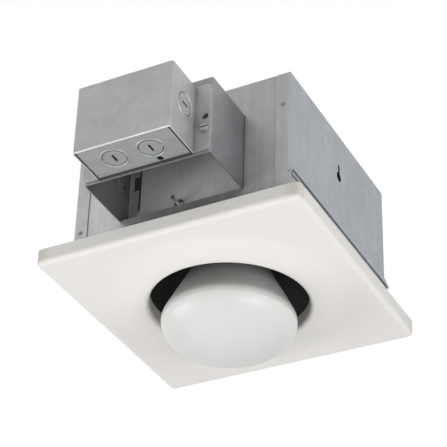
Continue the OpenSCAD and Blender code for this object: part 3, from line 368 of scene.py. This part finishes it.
def plain_metal(name, tone, rough=0.32, metallic=0.95):
    """Small plated pieces: bright, slightly worn, with painted shade where they meet the sheet."""
    s = Shader(name)
    wear = s.noise(140, 5, 0.65)
    worn = s.mix(s.span(wear, 0.35, 0.75), tone, darker(tone, 0.72))
    # Painted shade darkens the colour where the piece meets the sheet
    s.put(
        Base_Color=s.mix(s.span(s.painted_hollow_shade(2 * MM), 0.2, 0.8), darker(tone, 0.25), worn),
        Roughness=s.span(wear, 0.3, 0.7, rough - 0.06, rough + 0.14),
        Metallic=metallic,
        Normal=s.bump(s.noise(700, 3, 0.5), 0.15, 0.0001),
    )
    return s.material


def threaded(name, tone, along, pitch):
    """A plated shank with its thread: a fine wave along the screw's own axis."""
    s = Shader(name)
    wear = s.noise(160, 4, 0.6)
    wave = s.math("SINE", s.math("MULTIPLY", s.axis(along), 2 * math.pi / pitch))
    s.put(
        Base_Color=s.mix(s.span(wear, 0.35, 0.75), tone, darker(tone, 0.7)),
        Roughness=s.span(wear, 0.3, 0.7, 0.11, 0.28),
        Metallic=0.9,
        Normal=s.bump(wave, 0.3, 0.00025),
    )
    return s.material


def moulded(name, tone, rough=0.5):
    """Insulation and moulded plastic with a fine grain."""
    s = Shader(name)
    cloud = s.noise(90, 3, 0.5)
    s.put(
        Base_Color=s.mix(cloud, tone, darker(tone, 0.8)),
        Roughness=s.span(cloud, 0.3, 0.7, rough - 0.05, rough + 0.1),
        Normal=s.bump(s.noise(420, 3, 0.5), 0.2, 0.0001),
    )
    return s.material


def porcelain():
    """Glazed porcelain: cream white with fine pits under a clear glaze."""
    s = Shader("socket_porcelain")
    cloud = s.noise(40, 3, 0.5)
    pit = s.span(s.noise(380, 2, 0.5), 0.70, 0.80)
    tone = s.mix(cloud, (0.78, 0.76, 0.71), (0.84, 0.82, 0.78))
    s.put(
        Base_Color=s.mix(s.math("MULTIPLY", pit, 0.4), tone, (0.45, 0.40, 0.33)),
        Roughness=s.span(cloud, 0.3, 0.7, 0.16, 0.26),
        Normal=s.bump(s.noise(120, 3, 0.5), 0.1, 0.0003),
        Coat_Weight=0.3,
        Coat_Roughness=0.08,
    )
    return s.material


def clear_glass():
    """The lamp's stem: clear, with slight reams."""
    s = Shader("stem_glass")
    ream = s.noise(80, 3, 0.5)
    s.put(
        Base_Color=s.mix(ream, (0.86, 0.89, 0.89), (0.93, 0.95, 0.95)),
        Roughness=s.span(ream, 0.3, 0.7, 0.03, 0.08),
        Normal=s.bump(ream, 0.1, 0.0004),
        Transmission_Weight=0.9,
        IOR=1.5,
    )
    return s.material


# Painted light: where a sheet's tone is lighter for light that falls there, and along the cover's
# hem a painted highlight: an axis, the mark where that starts and the mark where it is full
# The side panels' tabs at front and back, lighter than the panels' sides: painted light
PANEL_TABS_PAINTED_LIGHT = [("Y", 108.2 * MM, 108.9 * MM)]
# The front wall's left part, lighter where light from the left falls: painted light
FRONT_WALL_LEFT_PAINTED_LIGHT = [("-X", 30 * MM, 78 * MM), ("-Y", 107.6 * MM, 107.9 * MM)]
# The channel's tab against the liner, lighter than the rest of the channel: painted light in the
# channel's dark
CHANNEL_TAB_PAINTED_LIGHT = [("-Y", 95.4 * MM, 94.4 * MM)]
# The cover's hem at its bottom front: a painted highlight along the fold, with the bare metal of
# its cut
COVER_HEM_PAINTED_HIGHLIGHT = [("Z", 28.6 * MM, 28.2 * MM), ("Y", 213.2 * MM, 213.4 * MM)]

# How a sheet's streaks run: long along the axis whose number is small
ALONG_X, ALONG_Z = (0.06, 1, 1), (1, 1, 0.06)

shell_metal = galvanised(
    "wrapper_sheet", (0.44, 0.44, 0.435), (1, 2, 3), ALONG_Z,
    lighter=(0.66, 0.66, 0.655), where=FRONT_WALL_LEFT_PAINTED_LIGHT,
)
panel_metal = galvanised(
    "panel_sheet", (0.372, 0.390, 0.415), (4, 0, 2), (1, 1, 0.07),
    brushed=0.8, lighter=(0.46, 0.465, 0.47), where=PANEL_TABS_PAINTED_LIGHT,
)
left_metal = galvanised(
    "left_panel_sheet", (0.372, 0.385, 0.405), (9, 4, 2), (1, 0.05, 1),
    brushed=0.8, lighter=(0.53, 0.535, 0.54), where=PANEL_TABS_PAINTED_LIGHT,
)
# The channel's tone, darker than the other galvanised sheets, is painted shade for its place
# between the box and the housing
channel_metal = galvanised(
    "channel_sheet", (0.285, 0.292, 0.305), (7, 1, 5), ALONG_X,
    metallic=0.85, brushed=0.6, lighter=(0.74, 0.75, 0.76), where=CHANNEL_TAB_PAINTED_LIGHT,
)
base_metal = galvanised("box_base_sheet", (0.318, 0.33, 0.327), (3, 8, 1), ALONG_X, brushed=0.6)
cover_metal = galvanised(
    "box_cover_sheet", (0.45, 0.45, 0.443), (5, 3, 9), (1, 1, 0.05),
    brushed=0.35, lighter=(0.86, 0.86, 0.85), where=COVER_HEM_PAINTED_HIGHLIGHT,
)
# The ridges' tone, lighter than the box base they are pressed from, is a painted highlight
ridge_metal_painted_highlight = galvanised("ridge_sheet", (0.35, 0.365, 0.36), (3, 8, 1), ALONG_X, brushed=0.6)
strap_metal = galvanised("strap_sheet", (0.34, 0.34, 0.34), (2, 2, 7), ALONG_X)
zinc = plain_metal("zinc_plate", (0.62, 0.62, 0.60))
rivet_metal = plain_metal("clinched_zinc", (0.32, 0.32, 0.33), 0.5, 0.6)
brass = plain_metal("brass", (0.62, 0.44, 0.17), 0.3)
nickel = plain_metal("nickel_plate", (0.64, 0.62, 0.58), 0.24)
wire_zinc = plain_metal("spring_wire", (0.58, 0.58, 0.57), 0.28)
STUD_PITCH = 0.7 * MM

MATERIALS = {
    "grille": grille_paint(),
    "grille_hooks": zinc,
    "grille_spring_left": wire_zinc,
    "grille_spring_right": wire_zinc,
    "spring_hangers": zinc,
    "housing_shell": shell_metal,
    "side_panel_left": left_metal,
    "side_panel_right": panel_metal,
    "side_skirt_right": panel_metal,
    "panel_rivets": rivet_metal,
    "heat_liner": liner_metal(),
    "liner_screws": zinc,
    "wall_stud": threaded("stud_thread", (0.95, 0.95, 0.93), "Y", STUD_PITCH),
    "wall_nut": plain_metal("bright_zinc", (0.97, 0.97, 0.95), 0.2),
    "standoff_channel": channel_metal,
    "channel_rivets": rivet_metal,
    "junction_box_base": base_metal,
    "junction_box_cover": cover_metal,
    "cover_screws": zinc,
    "box_screws": zinc,
    "ground_screw": moulded("green_screw", (0.04, 0.22, 0.07), 0.35),
    "wire_bush": moulded("bush_plastic", (0.02, 0.02, 0.02)),
    "lead_hot": moulded("black_insulation", (0.018, 0.018, 0.018), 0.42),
    "lead_neutral": moulded("white_insulation", (0.70, 0.70, 0.67), 0.42),
    "lead_link": moulded("link_insulation", (0.022, 0.020, 0.020), 0.42),
    "lead_earth": moulded("green_insulation", (0.05, 0.26, 0.09), 0.42),
    "socket_bracket": strap_metal,
    "roof_rivets": rivet_metal,
    "lamp_socket": porcelain(),
    "socket_shell": brass,
    "socket_contact": brass,
    "socket_terminals": brass,
    "socket_screws": zinc,
    "thermal_cutout": plain_metal("cutout_can", (0.60, 0.60, 0.60), 0.34, 0.9),
    "cutout_terminals": brass,
    "lamp_glass": lamp_skin(),
    "lamp_stem": clear_glass(),
    "lamp_filament": plain_metal("filament_wire", (0.30, 0.30, 0.31), 0.4, 0.9),
    "lamp_base": nickel,
    "lamp_base_ring": moulded("base_insulator", (0.02, 0.02, 0.025), 0.2),
    "lamp_contact": nickel,
}
for node_name in nodes:
    slots = nodes[node_name].data.materials
    slots.clear()
    slots.append(MATERIALS[node_name])


# Pieces finer than the CAD, each of which stands for its node or lies on it

SHARP_FOLD = math.radians(42)


def placed(name, data):
    """A new object in the scene with this mesh, curve, lamp or camera."""
    made = bpy.data.objects.new(name, data)
    bpy.context.scene.collection.objects.link(made)
    return made


def ring_mesh(name, rings):
    """A closed skin through rings of equally many points; the last ring meets the first."""
    count = len(rings[0])
    around = [(k, (k + 1) % count) for k in range(count)]
    faces = []
    for i in range(len(rings)):
        low, high = i * count, (i + 1) % len(rings) * count
        faces += [(low + k, low + after, high + after, high + k) for k, after in around]
    mesh = bpy.data.meshes.new(name)
    mesh.from_pydata([p for ring in rings for p in ring], [], faces)
    work = bmesh.new()
    work.from_mesh(mesh)
    bmesh.ops.recalc_face_normals(work, faces=work.faces)
    work.to_mesh(mesh)
    work.free()
    mesh.shade_smooth()
    mesh.set_sharp_from_angle(angle=SHARP_FOLD)
    return placed(name, mesh)


def grille_skin():
    """The grille with the enamelled pan's soft edge: one sheet from rim to throat and back."""
    low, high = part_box("grille")
    corner, edge, sheet = 5.5 * MM, 4.9 * MM, 1.2 * MM
    face, border_r, crown_r = -16 * MM, 121.5 * MM, 117.5 * MM
    throat_r, lip, throat_top = 75.25 * MM, 4 * MM, -6.7 * MM
    side_steps, corner_steps, edge_steps, crown_steps, roll_steps = 13, 8, 10, 26, 8
    near = 0.4 * MM  # from an edge's end to the ring that keeps the flat beside it flat
    crown = face - low.z
    roll_r = throat_r + lip
    x, y = high.x - corner, high.y - corner

    # Directions from the middle, closer together where the corner's round begins and ends
    first, last = math.atan2(y, high.x), math.atan2(high.y, x)
    quarter = [first * k / side_steps for k in range(side_steps)]
    quarter += [first + (last - first) * k / corner_steps for k in range(corner_steps + 1)]
    quarter += [last + (math.pi / 2 - last) * k / side_steps for k in range(1, side_steps)]
    angles = quarter + [math.pi - a for a in reversed([*quarter[1:], math.pi / 2])]
    angles += [a + math.pi for a in angles]

    # For each direction: the nearest point that a corner's round turns about, and the way out
    spots, tiny = [], 1e-9
    for a in angles:
        along_x, along_y = max(abs(math.cos(a)), tiny), max(abs(math.sin(a)), tiny)
        reach = min(high.x / along_x, high.y / along_y)
        at = Vector((reach * math.cos(a), reach * math.sin(a), 0))
        core = Vector((max(-x, min(x, at.x)), max(-y, min(y, at.y)), 0))
        spots.append((core, (at - core).normalized()))

    def square(inset, z):
        return [(*(core + out * (corner - inset)).xy, z) for core, out in spots]

    def circle(r, z):
        return [(r * math.cos(a), r * math.sin(a), z) for a in angles]

    def rim(t):
        """From the rim's top round the edge to the border's circle, t inside the sheet."""
        rings = [square(t, 0), square(t, -near), square(t, face + edge + near)]
        for k in range(edge_steps + 1):
            a = math.pi / 2 * k / edge_steps
            inset, drop = edge - (edge - t) * math.cos(a), (edge - t) * math.sin(a)
            rings.append(square(inset, face + edge - drop))
        return rings + [square(edge + near, face + t), circle(border_r, face + t)]

    def hole(t):
        """From the crown's circle to the roll, round it and up the throat, t inside the sheet."""
        rings = []
        for k in range(crown_steps + 1):
            f = k / crown_steps
            swell = crown * f * f * (3 - 2 * f)
            rings.append(circle(crown_r + f * (roll_r - crown_r), face + t - swell))
        for k in range(1, roll_steps + 1):
            a = math.pi / 2 * k / roll_steps
            z = low.z + lip - (lip - t) * math.cos(a)
            rings.append(circle(roll_r - (lip - t) * math.sin(a), z))
        throat = [circle(throat_r + t, z) for z in (throat_top - 0.3 * MM, throat_top)]
        return rings + throat

    outside = rim(0) + hole(0)
    inside = rim(sheet) + hole(sheet)
    return ring_mesh("grille_skin", outside + inside[::-1])


def wire(name, points, thickness):
    """A mesh tube with closed ends through the points."""
    curve = bpy.data.curves.new(name, "CURVE")
    curve.dimensions = "3D"
    curve.bevel_depth = thickness / 2
    curve.bevel_resolution = 2
    curve.use_fill_caps = True
    line = curve.splines.new("POLY")
    line.points.add(len(points) - 1)
    for knot, place in zip(line.points, points):
        knot.co = (*place, 1)
    holder = placed(name + "_line", curve)
    bpy.context.view_layer.update()
    solid = holder.evaluated_get(bpy.context.evaluated_depsgraph_get())
    mesh = bpy.data.meshes.new_from_object(solid)
    bpy.data.objects.remove(holder)
    mesh.name = name
    mesh.shade_smooth()
    return placed(name, mesh)


def grille_spring(side):
    """An extension spring hooked at both ends, in place of the node's spring."""
    node = "grille_spring_" + side
    low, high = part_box(node)
    x = (low.x + high.x) / 2
    hook, coil, thickness, turns, steps = 2.2 * MM, 3.5 * MM, 1 * MM, 15, 20
    hook_low, hook_high = -6.9 * MM, 56.4 * MM
    coil_low, coil_high = hook_low + hook + 2 * MM, hook_high - hook - 2 * MM
    arc = [math.radians(a) for a in range(-30, 181, 15)]
    hooks = [(x + hook * math.cos(a), hook * math.sin(a)) for a in arc]
    points = [(across, 0, hook_low - along) for across, along in hooks]
    for i in range(steps * turns + 1):
        a, f = 2 * math.pi * i / steps, i / (steps * turns)
        z = coil_low + f * (coil_high - coil_low)
        points.append((x - coil * math.cos(a), coil * math.sin(a), z))
    points += [(across, 0, hook_high + along) for across, along in reversed(hooks)]
    piece = wire(f"coil_{side}", points, thickness)
    piece.data.materials.append(wire_zinc)
    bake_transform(piece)
    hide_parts(node)


# Section of the ridge round a knockout: radius and height over the sheet, in millimetres
RIDGE = [(11.5, -0.3), (11.8, 0.2), (12.2, 0.55), (12.7, 0.6), (13.2, 0.25), (13.6, -0.3)]
RIDGE_STEPS = 72


def knockout_ring(name, centre, axis, metal, body):
    """The embossed ridge round a knockout, where the die has drawn the sheet outwards."""
    side = axis.orthogonal().normalized()
    up = axis.cross(side)
    turn = [2 * math.pi * k / RIDGE_STEPS for k in range(RIDGE_STEPS)]
    around = [side * math.cos(a) + up * math.sin(a) for a in turn]
    rings = [[centre + axis * h * MM + out * r * MM for out in around] for r, h in RIDGE]
    piece = ring_mesh(name, rings)
    piece.data.materials.append(metal)
    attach(piece, body)


skin = grille_skin()
skin.data.materials.append(MATERIALS["grille"])
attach(skin, "grille_body")
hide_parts("grille")
for side_name in ("left", "right"):
    grille_spring(side_name)

box_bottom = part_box("junction_box_base")[0].z
near_knockout = Vector((-15.5 * MM, -192.9 * MM, box_bottom))
far_knockout = Vector((20.5 * MM, -192.9 * MM, box_bottom))
side_knockout = Vector((50.5 * MM, -190.4 * MM, 67.2 * MM))
knockout_ring("ridge_near", near_knockout, DOWN, ridge_metal_painted_highlight, "housing")
knockout_ring("ridge_far", far_knockout, DOWN, ridge_metal_painted_highlight, "housing")
knockout_ring("ridge_side", side_knockout, RIGHT, cover_metal, "box_cover")


# Stage: a pale floor far below the part, a white world and soft lamps

FLOOR_Z, FLOOR_SIZE = -1.95, 44
FLOOR_LEVEL = 0.85  # share of the floor's look that is its plain tone; the rest is lit
WORLD_LIGHT = 0.25  # how strongly the world lights the part, while it looks white


def stage_material():
    s = Shader("pale_floor")
    tone = s.mix(s.noise(3, 3, 0.5), (0.88, 0.88, 0.88), (0.91, 0.91, 0.91))
    s.put(Base_Color=tone, Roughness=0.7)
    glow = s.add("ShaderNodeEmission")
    s.link(tone, glow.inputs["Color"])
    share = s.math("MULTIPLY", s.seen(), FLOOR_LEVEL)
    both = s.mix_shaders(share, s.bsdf.outputs[0], glow.outputs[0])
    s.link(both, s.tree.nodes["Material Output"].inputs["Surface"])
    return s.material


bpy.ops.mesh.primitive_plane_add(size=FLOOR_SIZE, location=(0, 0, FLOOR_Z))
floor = bpy.context.object
floor.name = "floor"
floor.data.materials.append(stage_material())

world = bpy.data.worlds.new("studio")
bpy.context.scene.world = world
world.use_nodes = True
world.node_tree.nodes.clear()
sky = Nodes(world.node_tree)


def background(colour, strength):
    node = sky.add("ShaderNodeBackground")
    sky.link(colour, node.inputs["Color"])
    sky.link(strength, node.inputs["Strength"])
    return node.outputs[0]


sky_mix = sky.mix_shaders(
    sky.seen(), background((0.97, 0.985, 1.0), WORLD_LIGHT), background((1, 1, 1), 1.0)
)
sky.link(sky_mix, sky.add("ShaderNodeOutputWorld").inputs["Surface"])


def soft_lamp(name, place, aim, size, watts, colour=(1, 1, 1)):
    """A round area lamp, size metres across, turned to its aim."""
    data = bpy.data.lights.new(name, "AREA")
    data.shape = "DISK"
    data.size = size
    data.energy = watts
    data.color = colour
    lamp = placed(name, data)
    lamp.location = place
    lamp.rotation_euler = (Vector(aim) - Vector(place)).to_track_quat("-Z", "Y").to_euler()


PART = (0, 0, 0)
soft_lamp("left", (-1.08, -0.68, -0.525), PART, 0.8, 9.2)
soft_lamp("below", (0.3, -2.0, -1.85), (0.3, -2.0, 0), 9.0, 56, (1.0, 0.99, 0.98))
soft_lamp("right", (1.13, -0.44, -0.595), PART, 0.8, 10.0, (0.99, 0.995, 1.0))
soft_lamp("above", (-0.9, 2.0, 2.2), PART, 2.6, 38)

# Camera at the photograph's place, solved from its edge points for a square frame of 447 pixels
CAMERA_PLACE = Vector((0.63005, -1.20123, -0.83695))
FRAME_RIGHT = Vector((0.890530, 0.454179, 0.026030))
FRAME_DOWN = Vector((-0.233830, 0.506061, -0.830196))
FRAME_AHEAD = Vector((-0.390230, 0.733229, 0.556863))

lens = bpy.data.cameras.new("camera")
lens.sensor_width = 36
lens.lens = 136.742
lens.clip_start = 0.05
lens.clip_end = 50
camera = placed("camera", lens)
turned = Matrix((FRAME_RIGHT, -FRAME_DOWN, -FRAME_AHEAD)).transposed().to_4x4()
camera.matrix_world = Matrix.Translation(CAMERA_PLACE) @ turned
bpy.context.scene.camera = camera
bpy.context.scene.view_settings.view_transform = "Standard"
